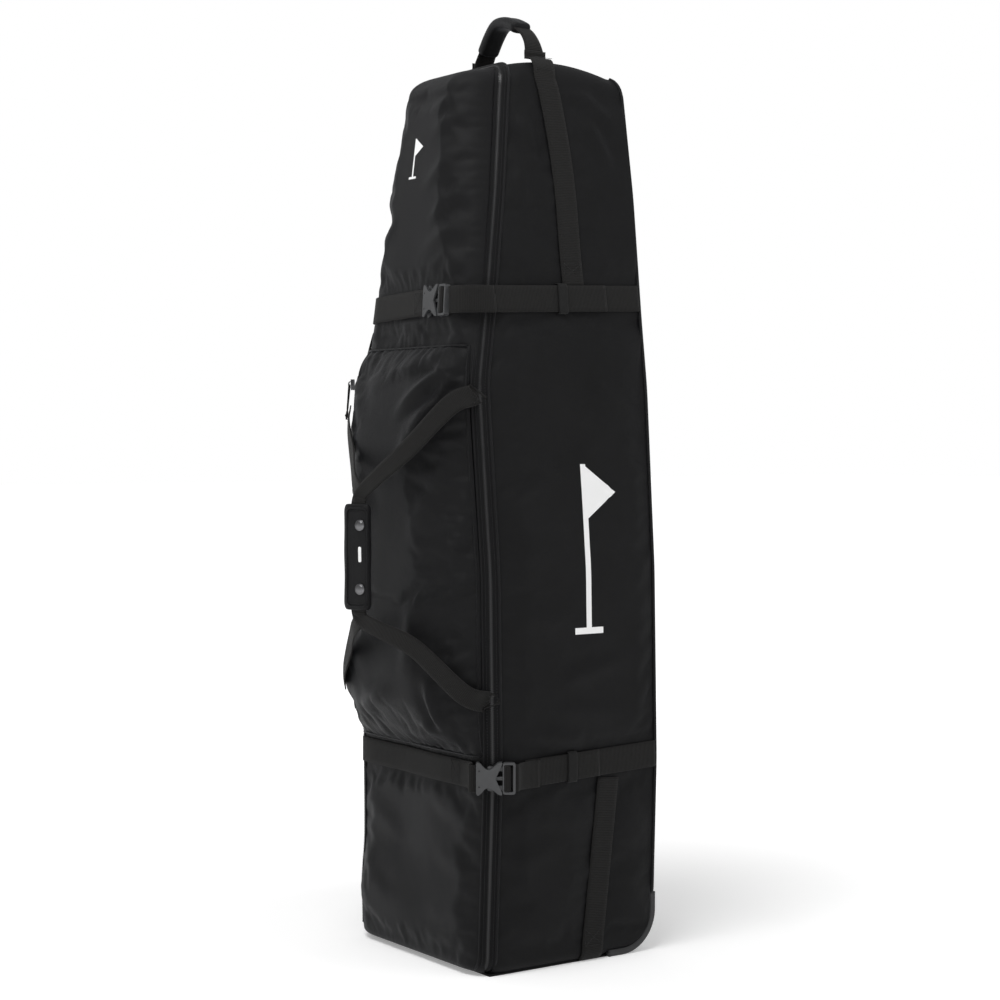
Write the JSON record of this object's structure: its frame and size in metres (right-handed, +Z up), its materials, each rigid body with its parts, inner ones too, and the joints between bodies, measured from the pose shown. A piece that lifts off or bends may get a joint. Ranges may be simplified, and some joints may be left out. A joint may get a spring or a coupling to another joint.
{
  "type": "golf travel case",
  "caption": "Tall soft travel case for a golf bag, with a zipped lid, front pocket, cinch straps, carry handles and corner wheels.",
  "frame": {"origin": "middle of the flat base on the floor, half way across the case and close to half way from the zip to the back", "axes": "+Z up along the height, -Y towards the lid and pocket, +Y towards the wheels and flat back, +X towards the side that the cinch straps fasten over"},
  "size_m": [0.3821, 0.4232, 1.363],
  "materials": {
    "case_fabric": "black polyester weave with a soft coating",
    "lid_fabric": "black polyester weave, slightly glossier",
    "stiff_board": "stiff plastic sheet",
    "foam": "lined foam padding",
    "piping": "fabric covered piping",
    "zip_tape": "woven zip tape",
    "zip_coil": "nylon coil",
    "moulded_plastic": "fine moulded texture",
    "screws": "black zinc",
    "axle_steel": "turned steel",
    "bearing_steel": "ground steel",
    "tyre": "solid polyurethane",
    "hub_plastic": "moulded nylon",
    "webbing": "ribbed polypropylene webbing",
    "elastic": "knitted elastic",
    "grip_fabric": "padded polyester with bound edges",
    "snap_metal": "black lacquered caps",
    "buckle_plastic": "dark grey acetal",
    "slider_metal": "dark lacquered die casting",
    "puller_cord": "braided cord with moulded end"
  },
  "bodies": {
    "case": {"bottom_panel": "case_fabric", "base_board": "stiff_board", "back_panel": "case_fabric", "back_board": "stiff_board", "right_side_panel": "case_fabric", "left_side_panel": "case_fabric", "top_panel": "case_fabric", "top_padding": "foam", "back_piping": "piping", "case_zip_tape": "zip_tape", "case_zip_coil": "zip_coil", "kick_plate": "moulded_plastic", "right_wheel_housing": "moulded_plastic", "left_wheel_housing": "moulded_plastic", "right_corner_guard": "moulded_plastic", "left_corner_guard": "moulded_plastic", "housing_screws": "screws", "right_axle": "axle_steel", "left_axle": "axle_steel", "upper_side_webbing": "webbing", "lower_side_webbing": "webbing", "upper_strap_base": "webbing", "lower_strap_base": "webbing", "upper_strap_tail": "webbing", "lower_strap_tail": "webbing", "upper_strap_keeper": "elastic", "lower_strap_keeper": "elastic", "upper_strap_over": "webbing", "lower_strap_over": "webbing", "inner_cinch_straps": "webbing", "inner_cinch_buckles": "buckle_plastic"},
    "lid": {"lid_panel": "lid_fabric", "lid_zip_tape": "zip_tape", "lid_zip_coil": "zip_coil", "pocket_panel": "lid_fabric", "pocket_gusset_right": "lid_fabric", "pocket_gusset_left": "lid_fabric", "pocket_zip": "zip_coil", "upper_strap_front": "webbing", "lower_strap_front": "webbing", "upper_buckle_socket": "buckle_plastic", "lower_buckle_socket": "buckle_plastic", "grip_webbing_right": "webbing", "grip_webbing_left": "webbing"},
    "upper_plug": {"upper_buckle_plug": "buckle_plastic"},
    "lower_plug": {"lower_buckle_plug": "buckle_plastic"},
    "carry_grip": {"grip_wrap": "grip_fabric", "grip_snaps": "snap_metal"},
    "main_slider": {"main_zip_slider": "slider_metal"},
    "main_puller": {"main_zip_puller": "slider_metal"},
    "pocket_slider": {"pocket_zip_slider": "slider_metal"},
    "pocket_puller": {"pocket_zip_puller": "puller_cord"},
    "top_handle": {"handle_webbing": "webbing", "handle_wrap": "grip_fabric"},
    "right_wheel": {"right_tyre": "tyre", "right_hub": "hub_plastic", "right_bearings": "bearing_steel"},
    "left_wheel": {"left_tyre": "tyre", "left_hub": "hub_plastic", "left_bearings": "bearing_steel"}
  },
  "joints": [
    {"name": "lid_hinge", "type": "hinge", "parent": "case", "child": "lid", "pos_m": [-0.1795, -0.134, 0.45], "axis": [0, 0, -1], "range_deg": [0, 150], "deforming": ["upper_strap_over", "lower_strap_over"]},
    {"name": "upper_buckle_release", "type": "slide", "parent": "lid", "child": "upper_plug", "axis": [1, 0, 0], "range_m": [0, 0.022]},
    {"name": "lower_buckle_release", "type": "slide", "parent": "lid", "child": "lower_plug", "axis": [0.5299, 0.848, 0], "range_m": [0, 0.022]},
    {"name": "carry_grip_pull", "type": "slide", "parent": "lid", "child": "carry_grip", "axis": [0, -1, 0], "range_m": [0, 0.03], "deforming": ["grip_webbing_right", "grip_webbing_left"]},
    {"name": "main_zip_travel", "type": "slide", "parent": "case", "child": "main_slider", "axis": [0.1089, 0.1634, 0.9805], "range_m": [0, 0.15]},
    {"name": "main_puller_swing", "type": "hinge", "parent": "main_slider", "child": "main_puller", "pos_m": [-0.14008, -0.11989, 0.93123], "axis": [-0.4942, 0.8648, -0.0892], "range_deg": [0, 150]},
    {"name": "pocket_zip_travel", "type": "slide", "parent": "lid", "child": "pocket_slider", "axis": [-0.0665, 0.0106, -0.9977], "range_m": [0, 0.15]},
    {"name": "pocket_puller_swing", "type": "hinge", "parent": "pocket_slider", "child": "pocket_puller", "pos_m": [-0.13541, -0.17706, 0.82493], "axis": [-0.7071, 0.7071, 0], "range_deg": [0, 120]},
    {"name": "top_handle_swing", "type": "hinge", "parent": "case", "child": "top_handle", "pos_m": [0, 0.015, 1.308], "axis": [1, 0, 0], "range_deg": [-80, 80], "stiffness_Nm_per_rad": 0.3},
    {"name": "right_wheel_spin", "type": "hinge", "parent": "case", "child": "right_wheel", "pos_m": [0.127, 0.127, 0.036], "axis": [1, 0, 0], "continuous": true},
    {"name": "left_wheel_spin", "type": "hinge", "parent": "case", "child": "left_wheel", "pos_m": [-0.127, 0.127, 0.036], "axis": [1, 0, 0], "continuous": true}
  ]
}
